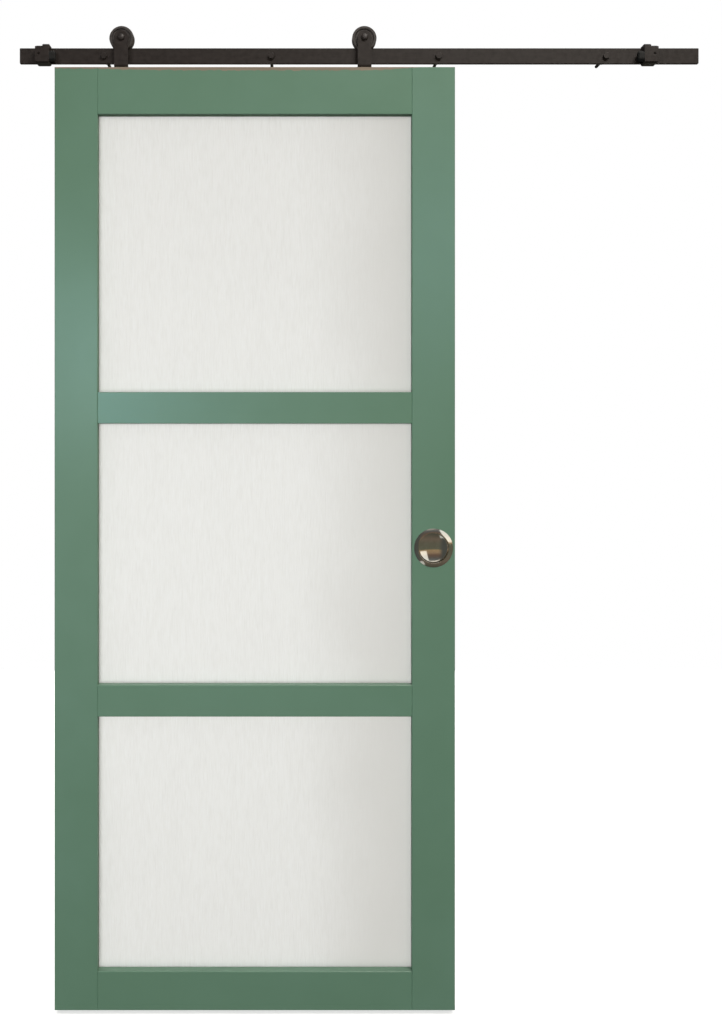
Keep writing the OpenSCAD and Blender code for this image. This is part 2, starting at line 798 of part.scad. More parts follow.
module left_place() { translate([left_axle_x, 0, 0]) children(); }
module right_place() { translate([right_axle_x, 0, 0]) children(); }
module left_hanger_strap() { left_place() hanger_strap(); }
module left_foot_screws() { left_place() foot_screws(); }
module left_axle_bolt() { left_place() axle_bolt(); }
module left_axle_nut() { left_place() axle_nut(); }
module left_axle_collars() { left_place() axle_collars(); }
module left_bearing_inner_ring() { left_place() bearing_inner_ring(); }
module left_bearing_balls() { left_place() bearing_balls(); }
module left_bearing_outer_ring() { left_place() bearing_outer_ring(); }
module left_wheel() { left_place() wheel(); }
module right_hanger_strap() { right_place() hanger_strap(); }
module right_foot_screws() { right_place() foot_screws(); }
module right_axle_bolt() { right_place() axle_bolt(); }
module right_axle_nut() { right_place() axle_nut(); }
module right_axle_collars() { right_place() axle_collars(); }
module right_bearing_inner_ring() { right_place() bearing_inner_ring(); }
module right_bearing_balls() { right_place() bearing_balls(); }
module right_bearing_outer_ring() { right_place() bearing_outer_ring(); }
module right_wheel() { right_place() wheel(); }

left_stile();
right_stile();
top_rail();
upper_mid_rail();
lower_mid_rail();
bottom_rail();
rail_dowels();
upper_pane();
middle_pane();
lower_pane();
upper_gasket();
middle_gasket();
lower_gasket();
upper_left_bead();
upper_right_bead();
upper_top_bead();
upper_bottom_bead();
middle_left_bead();
middle_right_bead();
middle_top_bead();
middle_bottom_bead();
lower_left_bead();
lower_right_bead();
lower_top_bead();
lower_bottom_bead();
front_flush_pull();
rear_flush_pull();
track_bar();
track_spacers();
track_screws();
left_stop_body();
left_stop_bumper();
left_stop_screw();
right_stop_body();
right_stop_bumper();
right_stop_screw();
left_hanger_strap();
left_foot_screws();
left_axle_bolt();
left_axle_nut();
left_axle_collars();
left_bearing_inner_ring();
left_bearing_balls();
left_bearing_outer_ring();
left_wheel();
right_hanger_strap();
right_foot_screws();
right_axle_bolt();
right_axle_nut();
right_axle_collars();
right_bearing_inner_ring();
right_bearing_balls();
right_bearing_outer_ring();
right_wheel();
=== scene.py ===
"""Looks of the sliding glazed door: finishes, fine threads, spun pulls, camera and light."""
import math

import bmesh
import bpy
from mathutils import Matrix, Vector


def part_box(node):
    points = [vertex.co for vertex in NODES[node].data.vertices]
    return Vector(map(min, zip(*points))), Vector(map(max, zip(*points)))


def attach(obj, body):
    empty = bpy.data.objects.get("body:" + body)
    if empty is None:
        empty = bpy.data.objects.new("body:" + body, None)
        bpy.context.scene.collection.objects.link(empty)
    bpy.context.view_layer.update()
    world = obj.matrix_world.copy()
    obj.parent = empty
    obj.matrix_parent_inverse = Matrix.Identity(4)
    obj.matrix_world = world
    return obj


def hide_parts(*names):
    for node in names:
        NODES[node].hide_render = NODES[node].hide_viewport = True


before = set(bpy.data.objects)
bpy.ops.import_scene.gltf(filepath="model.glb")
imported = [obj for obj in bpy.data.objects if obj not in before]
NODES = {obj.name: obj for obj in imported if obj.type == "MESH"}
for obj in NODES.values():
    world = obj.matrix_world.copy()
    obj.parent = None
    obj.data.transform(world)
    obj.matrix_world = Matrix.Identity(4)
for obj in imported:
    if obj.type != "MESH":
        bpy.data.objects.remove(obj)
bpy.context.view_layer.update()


def corners(node):
    """Low and high corner of a node's box, in metres."""
    return tuple(Vector(corner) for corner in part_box(node))


# Places taken from the frame, in metres
LEAF_LOW, LEAF_HIGH = corners("left_stile")[0], corners("right_stile")[1]
LEAF_FRONT, LEAF_BACK = LEAF_LOW.y, LEAF_HIGH.y
LEAF_TOP = LEAF_HIGH.z
TOP_RAIL_LOW, TOP_RAIL_HIGH = corners("top_rail")
OPEN_LOW = Vector((corners("left_stile")[1].x, 0, corners("bottom_rail")[1].z))
OPEN_HIGH = Vector((corners("right_stile")[0].x, 0, TOP_RAIL_LOW.z))
PULL_LOW, PULL_HIGH = corners("front_flush_pull")
PULL_CENTRE = (PULL_LOW + PULL_HIGH) / 2
PULL_FLANGE_R = PULL_HIGH.x - PULL_CENTRE.x

# Sizes of the pull repeated from the part's source, in metres
PULL_MOUTH_R, PULL_LIP = 0.0325, 0.0008

# Groups of nodes
PAINTED = [name for name in NODES if name.endswith(("_stile", "_rail", "_bead"))]
PANES = ["upper_pane", "middle_pane", "lower_pane"]
SIDES = ("left", "right")

# The photograph's frame and where its view meets the leaf, in pixels
IMAGE_W, IMAGE_H = 722, 1024
EYE_PX, EYE_PY = 290, 400
LEAF_LEFT_PX, LEAF_TOP_PY, LEAF_BOTTOM_PY = 54.5, 66.9, 1010.5

# Camera, in metres and millimetres
EYE_DISTANCE = 2.0
SENSOR = 36.0

# Colours of the room from straight down (0) to straight up (1)
ROOM_STOPS = (
    (0.10, (0.090, 0.090, 0.072)),
    (0.20, (0.165, 0.135, 0.108)),
    (0.32, (0.136, 0.134, 0.104)),
    (0.492, (0.132, 0.140, 0.106)),
    (0.502, (0.400, 0.290, 0.165)),
    (0.590, (0.330, 0.240, 0.160)),
    (0.650, (0.165, 0.112, 0.086)),
    (0.710, (0.130, 0.106, 0.094)),
    (0.760, (0.125, 0.134, 0.136)),
    (0.820, (0.190, 0.205, 0.215)),
    (1.00, (0.42, 0.44, 0.45)),
)

# Dim left side of the room and the directions between which it comes in
ROOM_LEFT = (0.085, 0.092, 0.088)
ROOM_LEFT_FROM, ROOM_LEFT_TO = -0.20, -0.42

# What shows through the panes and past the door
BEHIND_PANES = (0.965, 0.955, 0.935)
WHITE = (1, 1, 1)

# Span that most values of a noise lie in
MOST = (0.3, 0.7)


# Scene

def add_camera():
    """Level camera opposite the leaf, with the shift that the photograph's framing has."""
    metres_per_px = (LEAF_TOP - LEAF_LOW.z) / (LEAF_BOTTOM_PY - LEAF_TOP_PY)
    data = bpy.data.cameras.new("camera")
    data.sensor_width = SENSOR
    data.lens = EYE_DISTANCE / metres_per_px / IMAGE_H * SENSOR
    data.shift_x = (IMAGE_W / 2 - EYE_PX) / IMAGE_H
    data.shift_y = (EYE_PY - IMAGE_H / 2) / IMAGE_H
    camera = bpy.data.objects.new("camera", data)
    camera.location = (
        LEAF_LOW.x + (EYE_PX - LEAF_LEFT_PX) * metres_per_px,
        LEAF_FRONT - EYE_DISTANCE,
        LEAF_TOP - (EYE_PY - LEAF_TOP_PY) * metres_per_px,
    )
    camera.rotation_euler = (math.pi / 2, 0, 0)
    bpy.context.collection.objects.link(camera)
    bpy.context.scene.camera = camera


def add_floor():
    """Pale floor a finger's width under the leaf; only the camera sees it, so it throws no light back."""
    gap, near, far, side = 0.010, -3.5, 2.5, 4.0
    dull, bright, glow = (0.80, 0.80, 0.79), (0.86, 0.86, 0.85), 0.62
    z = LEAF_LOW.z - gap
    outline = [(-side, near, z), (side, near, z), (side, far, z), (-side, far, z)]
    mesh = bpy.data.meshes.new("floor")
    mesh.from_pydata(outline, [], [(0, 1, 2, 3)])
    floor = bpy.data.objects.new("floor", mesh)
    bpy.context.collection.objects.link(floor)
    for ray in ("diffuse", "glossy", "transmission", "shadow"):
        setattr(floor, "visible_" + ray, False)
    pale = Shader("floor_pale", roughness=0.8, specular=0.1)
    pale.feed("Base Color", pale.mix(pale.noise(scale=6, detail=4), dull, bright))
    pale.set("Emission Color", (*WHITE, 1))
    pale.set("Emission Strength", glow)
    mesh.materials.append(pale.material)


def add_softbox(name, place, target, size, watts, colour=WHITE, hidden_from=()):
    """Rectangular area light that faces a point and stays out of the camera's sight."""
    data = bpy.data.lights.new(name, "AREA")
    data.shape = "RECTANGLE"
    data.size, data.size_y = size
    data.energy = watts
    data.color = colour
    light = bpy.data.objects.new(name, data)
    light.location = place
    light.rotation_euler = (Vector(target) - Vector(place)).to_track_quat("-Z", "Y").to_euler()
    light.visible_camera = False
    light.visible_diffuse = "diffuse" not in hidden_from
    light.visible_glossy = "glossy" not in hidden_from
    light.visible_transmission = "transmission" not in hidden_from
    bpy.context.collection.objects.link(light)
    return light


def facing_light(name, centre, azimuth, elevation, distance, spread, radiance, colour):
    """Softbox for reflections, placed by where a point sees it.

    Azimuth and elevation are degrees right and up from straight ahead.
    Spread is the light's width and height as the point sees them, in degrees.
    """
    turn, rise = math.radians(azimuth), math.radians(elevation)
    away = Vector((math.sin(turn) * math.cos(rise), -math.cos(turn) * math.cos(rise), math.sin(rise)))
    size = tuple(2 * distance * math.tan(math.radians(angle) / 2) for angle in spread)
    watts = math.pi * size[0] * size[1] * radiance
    place = centre + distance * away
    return add_softbox(name, place, centre, size, watts, colour, hidden_from=("diffuse",))


def light_only(light, objects):
    """Keeps a light to the given objects."""
    group = bpy.data.collections.new(light.name + "_receivers")
    for item in objects:
        group.objects.link(item)
    light.light_linking.receiver_collection = group


def keep_off(light, objects):
    """Takes a light off the given objects."""
    light_only(light, objects)
    for member in light.light_linking.receiver_collection.collection_objects:
        member.light_linking.link_state = "EXCLUDE"


def add_lights(pulls):
    """Key and fill from the front and from behind, with small lights of their own for single finishes."""
    mid = (LEAF_LOW + LEAF_HIGH) / 2
    panes = [NODES[name] for name in PANES]
    painted = [NODES[name] for name in PAINTED]
    iron = [node for node in NODES.values() if node.data.materials[0].name.endswith("_iron")]
    bolts = [NODES[side + "_axle_bolt"] for side in SIDES]
    stops = [NODES[side + "_stop_body"] for side in SIDES]

    # From the front
    key = add_softbox(
        "key", place=(1.6, -2.4, 3.2), target=(mid.x, mid.y, -0.8), size=(2.0, 1.2),
        watts=158, colour=(1.0, 0.94, 0.86))
    keep_off(key, panes + pulls)
    fill = add_softbox(
        "fill", place=(-0.9, -3.4, -1.4), target=(mid.x, mid.y, -1.3), size=(2.4, 2.0),
        watts=56, colour=(0.92, 1.0, 1.02), hidden_from=("glossy",))
    keep_off(fill, iron)
    iron_fill = add_softbox(
        "iron_fill", place=(-1.5, -1.9, 0.6), target=(-0.6, -0.03, 0), size=(0.8, 0.8),
        watts=22, hidden_from=("glossy",))
    light_only(iron_fill, iron)

    # Cool sheen on the paint
    sheen = add_softbox(
        "sheen", place=(-1.05, -2.15, -0.54), target=(-0.55, -0.05, -0.7), size=(0.40, 0.44),
        watts=8.5, colour=(0.60, 0.90, 1.0), hidden_from=("diffuse",))
    light_only(sheen, painted)
    stile_sheen = add_softbox(
        "stile_sheen", place=(0.48, -2.15, -0.10), target=(0.17, -0.05, -0.45), size=(0.40, 0.50),
        watts=4.4, colour=(0.55, 0.75, 1.0), hidden_from=("diffuse",))
    light_only(stile_sheen, [NODES["right_stile"]])
    rail_sheen = add_softbox(
        "rail_sheen", place=(-0.92, -2.15, -0.80), target=(-0.53, -0.05, -0.77), size=(0.36, 0.22),
        watts=2.6, colour=(0.20, 0.65, 1.0), hidden_from=("diffuse",))
    light_only(rail_sheen, [NODES["upper_mid_rail"]])

    # Even light on both sides of the panes
    for name, y in (("pane_light", -6.0), ("rear_pane_light", 6.0)):
        pane_light = add_softbox(
            name, place=(mid.x, y, 0), target=mid, size=(1.0, 1.0),
            watts=180, colour=(1.0, 0.97, 0.95), hidden_from=("glossy", "transmission"))
        light_only(pane_light, panes)

    # What the pulls and the axle bolts reflect
    window = facing_light(
        "window", PULL_CENTRE, azimuth=42, elevation=19.5, distance=2.4, spread=(25, 33),
        radiance=0.94, colour=(0.96, 1.0, 0.98))
    light_only(window, pulls)
    low_window = facing_light(
        "low_window", PULL_CENTRE, azimuth=-32, elevation=-46, distance=1.3, spread=(21, 10),
        radiance=0.55, colour=(0.94, 1.0, 1.0))
    light_only(low_window, pulls)
    ceiling = facing_light(
        "ceiling", PULL_CENTRE, azimuth=13, elevation=46, distance=2.4, spread=(54, 16),
        radiance=0.95, colour=(1.0, 0.95, 0.84))
    light_only(ceiling, pulls)
    bolt_centre = sum(corners("right_axle_bolt"), Vector()) / 2
    bolt_shine = facing_light(
        "bolt_shine", bolt_centre, azimuth=12, elevation=21, distance=2.2, spread=(40, 44),
        radiance=2.4, colour=(1.0, 0.97, 0.95))
    light_only(bolt_shine, bolts)

    # From behind
    rear_key = add_softbox(
        "rear_key", place=(-1.8, 2.6, 2.2), target=(mid.x, mid.y, -0.9), size=(2.0, 1.4),
        watts=130, colour=(1.0, 0.96, 0.90))
    keep_off(rear_key, panes + stops)
    rear_fill = add_softbox(
        "rear_fill", place=(1.2, 3.2, -0.9), target=(mid.x, mid.y, -1.2), size=(2.0, 2.0),
        watts=55, colour=(0.95, 1.0, 1.0), hidden_from=("glossy",))
    keep_off(rear_fill, panes)


def add_world():
    """White for the camera and through the panes; a dim room with a warm wall for light and reflections."""
    world = bpy.data.worlds.new("studio")
    bpy.context.scene.world = world
    world.use_nodes = True
    tree = world.node_tree
    tree.nodes.clear()

    def share(value, low, high):
        """Place of a value between two others, from 0 to 1."""
        node = tree.nodes.new("ShaderNodeMapRange")
        node.inputs["From Min"].default_value = low
        node.inputs["From Max"].default_value = high
        tree.links.new(value, node.inputs["Value"])
        return node.outputs["Result"]

    def mixed(factor, first, second):
        """A socket's colour, turned to a second colour by a factor."""
        node = tree.nodes.new("ShaderNodeMix")
        node.data_type = "RGBA"
        node.inputs["B"].default_value = (*second, 1)
        tree.links.new(factor, node.inputs["Factor"])
        tree.links.new(first, node.inputs["A"])
        return node.outputs["Result"]

    coord = tree.nodes.new("ShaderNodeTexCoord")
    split = tree.nodes.new("ShaderNodeSeparateXYZ")
    tree.links.new(coord.outputs["Generated"], split.inputs[0])

    height = tree.nodes.new("ShaderNodeValToRGB")
    ramp = height.color_ramp.elements
    lowest, *between, highest = ROOM_STOPS
    for stop, (position, colour) in zip(ramp, (lowest, highest)):
        stop.position, stop.color = position, (*colour, 1)
    for position, colour in between:
        ramp.new(position).color = (*colour, 1)
    tree.links.new(share(split.outputs["Z"], -1, 1), height.inputs["Fac"])

    left = share(split.outputs["X"], ROOM_LEFT_FROM, ROOM_LEFT_TO)
    room = mixed(left, height.outputs["Color"], ROOM_LEFT)
    rays = tree.nodes.new("ShaderNodeLightPath")
    room = mixed(rays.outputs["Is Transmission Ray"], room, BEHIND_PANES)
    room = mixed(rays.outputs["Is Camera Ray"], room, WHITE)

    background = tree.nodes.new("ShaderNodeBackground")
    output = tree.nodes.new("ShaderNodeOutputWorld")
    tree.links.new(room, background.inputs["Color"])
    tree.links.new(background.outputs[0], output.inputs["Surface"])
    bpy.context.scene.view_settings.view_transform = "Standard"


# Materials

class Shader:
    """A Principled material with short calls for adding and joining nodes."""

    def __init__(self, name, roughness=0.5, metallic=0.0, specular=0.5):
        self.material = bpy.data.materials.new(name)
        self.material.use_nodes = True
        self.tree = self.material.node_tree
        self.bsdf = self.tree.nodes["Principled BSDF"]
        self.coord = self.tree.nodes.new("ShaderNodeTexCoord")
        self.set("Roughness", roughness)
        self.set("Metallic", metallic)
        self.set("Specular IOR Level", specular)

    def set(self, socket, value):
        self.bsdf.inputs[socket].default_value = value

    def link(self, output, node, socket):
        self.tree.links.new(output, node.inputs[socket])

    def feed(self, socket, output):
        self.link(output, self.bsdf, socket)

    def scaled(self, scale, offset=(0, 0, 0)):
        """Object coordinates in metres, multiplied by scale and moved by an offset."""
        mapping = self.tree.nodes.new("ShaderNodeMapping")
        mapping.inputs["Scale"].default_value = scale
        mapping.inputs["Location"].default_value = offset
        self.link(self.coord.outputs["Object"], mapping, "Vector")
        return mapping.outputs["Vector"]

    def part(self, vector, name):
        """One coordinate of a vector."""
        split = self.tree.nodes.new("ShaderNodeSeparateXYZ")
        self.link(vector, split, "Vector")
        return split.outputs[name]

    def axis(self, name):
        return self.part(self.coord.outputs["Object"], name)

    def geometry(self, output):
        return self.tree.nodes.new("ShaderNodeNewGeometry").outputs[output]

    def noise(self, scale=1.0, detail=3.0, rough=0.5, vector_scale=(1, 1, 1)):
        noise = self.tree.nodes.new("ShaderNodeTexNoise")
        noise.inputs["Scale"].default_value = scale
        noise.inputs["Detail"].default_value = detail
        noise.inputs["Roughness"].default_value = rough
        self.link(self.scaled(vector_scale), noise, "Vector")
        return noise.outputs["Fac"]

    def fit(self, value, low, high, to_low=0.0, to_high=1.0, smooth=False):
        """Maps a value from one range to another, held at the ends."""
        node = self.tree.nodes.new("ShaderNodeMapRange")
        node.interpolation_type = "SMOOTHSTEP" if smooth else "LINEAR"
        limits = {"From Min": low, "From Max": high, "To Min": to_low, "To Max": to_high}
        for socket, number in limits.items():
            node.inputs[socket].default_value = number
        self.link(value, node, "Value")
        return node.outputs["Result"]

    def math(self, operation, first, second):
        node = self.tree.nodes.new("ShaderNodeMath")
        node.operation = operation
        for socket, value in enumerate((first, second)):
            if isinstance(value, (int, float)):
                node.inputs[socket].default_value = value
            else:
                self.link(value, node, socket)
        return node.outputs[0]

    def mix(self, factor, first, second):
        """Blends two colours by a socket; each is a colour tuple or a socket."""
        node = self.tree.nodes.new("ShaderNodeMix")
        node.data_type = "RGBA"
        for socket, value in (("Factor", factor), ("A", first), ("B", second)):
            if isinstance(value, tuple):
                node.inputs[socket].default_value = (*value, 1)
            else:
                self.link(value, node, socket)
        return node.outputs["Result"]

    def bump(self, height, distance, strength=1.0, normal=None):
        node = self.tree.nodes.new("ShaderNodeBump")
        node.inputs["Strength"].default_value = strength
        node.inputs["Distance"].default_value = distance
        self.link(height, node, "Height")
        if normal is not None:
            self.link(normal, node, "Normal")
        return node.outputs["Normal"]

    def rounded(self, radius):
        """Normal that turns smoothly over the edges, as on a broken arris."""
        node = self.tree.nodes.new("ShaderNodeBevel")
        node.samples = 4
        node.inputs["Radius"].default_value = radius
        return node.outputs["Normal"]

    def edges(self, rounded_normal):
        """Mask that grows where the rounded normal leaves the face's own."""
        along, turned = 0.995, 0.80
        dot = self.tree.nodes.new("ShaderNodeVectorMath")
        dot.operation = "DOT_PRODUCT"
        self.link(rounded_normal, dot, 0)
        self.link(self.geometry("Normal"), dot, 1)
        return self.fit(dot.outputs["Value"], along, turned)


def green_paint(name, brush_scale, bare_top=False):
    """Satin sage paint: slow drift of tone, roller stipple, brush marks along the timber and painted shade
    on the faces that line the openings.
    """
    deep, fresh = (0.136, 0.251, 0.170), (0.146, 0.264, 0.190)
    # shaded is the colour of the painted shade on the faces that line the openings
    clouded, shaded = (0.126, 0.236, 0.161), (0.070, 0.118, 0.076)
    satin_low, satin_high, recess_matt = 0.32, 0.42, 0.5
    paint = Shader(name, specular=0.45)
    drift = paint.noise(scale=2.3, detail=2)
    clouds = paint.noise(scale=14, detail=3)
    colour = paint.mix(paint.fit(drift, *MOST), deep, fresh)
    colour = paint.mix(paint.fit(clouds, 0.35, 0.7, to_high=0.35), colour, clouded)
    brush = paint.noise(detail=4, rough=0.6, vector_scale=brush_scale)
    stipple = paint.noise(scale=850, detail=2)
    if bare_top:
        colour = paint.mix(bare_edge(paint), colour, bare_timber(paint))
    recess_shade = recess_shade_mask(paint)
    # Painted shade: the faces lining the openings turn to the shaded colour, most where they look down
    paint.feed("Base Color", paint.mix(recess_shade, colour, shaded))
    satin = paint.fit(paint.math("ADD", brush, drift), 0.6, 1.4, satin_low, satin_high)
    paint.feed("Roughness", paint.math("ADD", satin, paint.math("MULTIPLY", recess_shade, recess_matt)))
    normal = paint.bump(brush, distance=0.00010, strength=0.35)
    paint.feed("Normal", paint.bump(stipple, distance=0.00005, strength=0.45, normal=normal))
    return paint.material


def recess_shade_mask(paint):
    """Mask of painted shade on the faces that line the openings: full where they look down, none where they
    look up.
    """
    reach, fade = 0.003, 0.001
    down, up = -0.6, 0.4
    face_on, side_on = 0.60, 0.40
    normal = paint.geometry("Normal")
    mask = paint.fit(paint.part(normal, "Z"), down, up, 1, 0)
    facing = paint.math("ABSOLUTE", paint.part(normal, "Y"), 0)
    mask = paint.math("MULTIPLY", mask, paint.fit(facing, face_on, side_on))
    for name, low, high in (("X", OPEN_LOW.x, OPEN_HIGH.x), ("Z", OPEN_LOW.z, OPEN_HIGH.z)):
        along = paint.axis(name)
        mask = paint.math("MULTIPLY", mask, paint.fit(along, low - reach - fade, low - reach))
        mask = paint.math("MULTIPLY", mask, paint.fit(along, high + reach + fade, high + reach))
    return mask


def bare_edge(paint):
    """Mask of the worn strip along the top edge, widest at the middle of the rail."""
    strip_h, fade, rag, ends, left_share = 0.0074, 0.0002, 0.0018, 0.10, 0.45
    ragged = paint.fit(paint.noise(scale=60, detail=6), *MOST, -rag, rag)
    height = paint.math("ADD", paint.axis("Z"), ragged)
    along = paint.axis("X")
    left = paint.fit(along, TOP_RAIL_LOW.x - ends, TOP_RAIL_LOW.x + 2 * ends, left_share, 1, smooth=True)
    right = paint.fit(along, TOP_RAIL_HIGH.x + ends / 2, TOP_RAIL_HIGH.x - ends, 0, 1, smooth=True)
    reach = paint.math("MULTIPLY", paint.math("MULTIPLY", left, right), strip_h)
    over = paint.math("SUBTRACT", paint.math("ADD", height, reach), LEAF_TOP)
    return paint.fit(over, -fade, fade)


def bare_timber(paint):
    """Colour of greyed timber with its grain along the rail."""
    dark, pale = (0.21, 0.165, 0.122), (0.33, 0.27, 0.21)
    grain = paint.noise(detail=5, rough=0.65, vector_scale=(9, 500, 700))
    return paint.mix(paint.fit(grain, *MOST), dark, pale)


def frosted_glass(node):
    """Satin-etched pane: white, light-passing, with fine upright streaks and painted shade greying its
    right side.
    """
    streak_dark, streak_pale = (0.896, 0.889, 0.871), (0.957, 0.952, 0.938)
    hair_dark, hair_pale = (0.850, 0.842, 0.822), (0.99, 0.99, 0.985)
    # Grey of the painted shade on the pane
    painted_shade_grey = (0.785, 0.775, 0.750)
    waver, mid_z, slant = 0.035, -1.2, 0.03
    # Where the painted shade starts and ends, as shares of the pane's width, and how strong it gets
    right_from, right_to, right_shade = 0.60, 0.98, 0.9
    left_from, left_to, left_shade = 0.10, -0.02, 0.16
    low, high = corners(node)
    width = high.x - low.x
    glass = Shader("frosted_" + node, specular=0.3)
    glass.set("IOR", 1.45)
    glass.set("Transmission Weight", 0.35)
    streaks = glass.noise(detail=3, rough=0.55, vector_scale=(330, 330, 26))
    hairs = glass.noise(detail=2, rough=0.5, vector_scale=(900, 900, 45))
    blotch = glass.noise(scale=3.5, detail=3)
    colour = glass.mix(glass.fit(streaks, 0.28, 0.72), streak_dark, streak_pale)
    colour = glass.mix(glass.fit(hairs, 0.50, 0.70, to_high=0.6), colour, hair_pale)
    colour = glass.mix(glass.fit(hairs, 0.42, 0.28, to_high=0.6), colour, hair_dark)
    across = glass.math("ADD", glass.axis("X"), glass.fit(blotch, 0.25, 0.75, -waver, waver))
    above = glass.math("SUBTRACT", glass.axis("Z"), mid_z)
    leaning = glass.math("SUBTRACT", across, glass.math("MULTIPLY", above, slant))
    right = glass.fit(
        leaning, low.x + right_from * width, low.x + right_to * width, to_high=right_shade, smooth=True)
    left = glass.fit(
        across, low.x + left_from * width, low.x + left_to * width, to_high=left_shade, smooth=True)
    # Painted shade: the pane's colour turns grey towards its right side and a little at its left edge
    glass.feed("Base Color", glass.mix(glass.math("MAXIMUM", right, left), colour, painted_shade_grey))
    glass.feed("Roughness", glass.fit(streaks, *MOST, 0.44, 0.56))
    normal = glass.bump(streaks, distance=0.00012, strength=0.4)
    glass.feed("Normal", glass.bump(hairs, distance=0.00005, strength=0.4, normal=normal))
    return glass.material


def black_iron(name, grain=(60, 400, 400), tone=(1, 1, 1)):
    """Dark brown-black satin coating over rolled steel, its colour multiplied by the tone."""
    shades = ((0.0165, 0.0130, 0.0122), (0.0265, 0.0212, 0.0198), (0.034, 0.026, 0.023))
    rubbed, rubbed_gloss, arris = (0.052, 0.043, 0.038), 0.12, 0.0007
    iron = Shader(name, specular=0.42)
    mottle = iron.noise(scale=95, detail=4)
    rolled = iron.noise(detail=3, vector_scale=grain)
    fine = iron.noise(scale=1500, detail=2)
    dark, mid, pale = (tuple(t * c for t, c in zip(tone, shade)) for shade in shades)
    colour = iron.mix(iron.fit(mottle, *MOST), dark, mid)
    colour = iron.mix(iron.fit(rolled, 0.4, 0.75, to_high=0.4), colour, pale)
    round_normal = iron.rounded(arris)
    rub = iron.math("MULTIPLY", iron.edges(round_normal), iron.fit(mottle, 0.42, 0.62, 0.15, 0.8))
    iron.feed("Base Color", iron.mix(rub, colour, rubbed))
    matt = iron.fit(mottle, 0.25, 0.75, 0.40, 0.54)
    iron.feed("Roughness", iron.math("SUBTRACT", matt, iron.math("MULTIPLY", rub, rubbed_gloss)))
    normal = iron.bump(rolled, distance=0.00008, strength=0.4, normal=round_normal)
    iron.feed("Normal", iron.bump(fine, distance=0.00005, strength=0.5, normal=normal))
    return iron.material


def polished_nickel():
    """Warm nickel plate with faint turning marks and hairline scuffs, its ring falling to the outside."""
    tarnished, clean = (0.68, 0.63, 0.55), (0.76, 0.72, 0.64)
    ring_fall = 0.0009
    nickel = Shader("polished_nickel", metallic=1.0)
    scuffs = nickel.noise(detail=4, rough=0.7, vector_scale=(900, 300, 140))
    haze = nickel.noise(scale=70, detail=3)
    nickel.feed("Base Color", nickel.mix(nickel.fit(haze, *MOST), tarnished, clean))
    nickel.feed("Roughness", nickel.fit(scuffs, 0.35, 0.75, 0.06, 0.16))
    radius = pull_radius(nickel)
    ring = nickel.fit(radius, PULL_MOUTH_R + PULL_LIP, PULL_FLANGE_R, 1, 0)
    normal = nickel.bump(scuffs, distance=0.00001, strength=0.3)
    normal = nickel.bump(ring, distance=ring_fall, normal=normal)
    marks = turning_marks(nickel, radius)
    nickel.feed("Normal", nickel.bump(marks, distance=0.000002, strength=0.4, normal=normal))
    return nickel.material


def pull_radius(metal):
    """Distance from the axis of the pulls."""
    radius = metal.tree.nodes.new("ShaderNodeVectorMath")
    radius.operation = "LENGTH"
    metal.link(metal.scaled((1, 0, 1), (-PULL_CENTRE.x, 0, -PULL_CENTRE.z)), radius, 0)
    return radius.outputs["Value"]


def turning_marks(metal, radius):
    """Fine uneven rings about the axis of the pulls."""
    rings_per_metre = 4000
    rings = metal.tree.nodes.new("ShaderNodeTexNoise")
    rings.noise_dimensions = "1D"
    rings.inputs["Scale"].default_value = rings_per_metre
    metal.link(radius, rings, "W")
    return rings.outputs["Fac"]


def plain_steel(name, colour, roughness):
    """Bare or plated steel with a fine cloudy grain."""
    dark = tuple(0.72 * c for c in colour)
    steel = Shader(name, metallic=1.0)
    cloud = steel.noise(scale=240, detail=4)
    steel.feed("Base Color", steel.mix(steel.fit(cloud, *MOST), colour, dark))
    steel.feed("Roughness", steel.fit(cloud, *MOST, roughness * 0.8, roughness * 1.25))
    steel.feed("Normal", steel.bump(cloud, distance=0.00003, strength=0.4))
    return steel.material


def moulded_rubber(name, colour):
    """Matt rubber with a pale bloom."""
    pale = tuple(1.7 * c for c in colour)
    rubber = Shader(name, specular=0.3)
    grain = rubber.noise(scale=1100, detail=2)
    bloom = rubber.noise(scale=90, detail=3)
    rubber.feed("Base Color", rubber.mix(rubber.fit(bloom, 0.35, 0.75), colour, pale))
    rubber.feed("Roughness", rubber.fit(bloom, *MOST, 0.62, 0.82))
    rubber.feed("Normal", rubber.bump(grain, distance=0.00008, strength=0.5))
    return rubber.material


def dowel_wood():
    """Bare beech with its grain along the dowel."""
    dark, pale = (0.44, 0.31, 0.18), (0.58, 0.44, 0.28)
    wood = Shader("dowel_wood", roughness=0.7, specular=0.25)
    grain = wood.noise(detail=5, rough=0.6, vector_scale=(14, 600, 600))
    wood.feed("Base Color", wood.mix(wood.fit(grain, *MOST), dark, pale))
    wood.feed("Normal", wood.bump(grain, distance=0.0001, strength=0.5))
    return wood.material


def dress(names, material):
    """Gives nodes a material in place of their own."""
    for name in names:
        slots = NODES[name].data.materials
        slots.clear()
        slots.append(material)


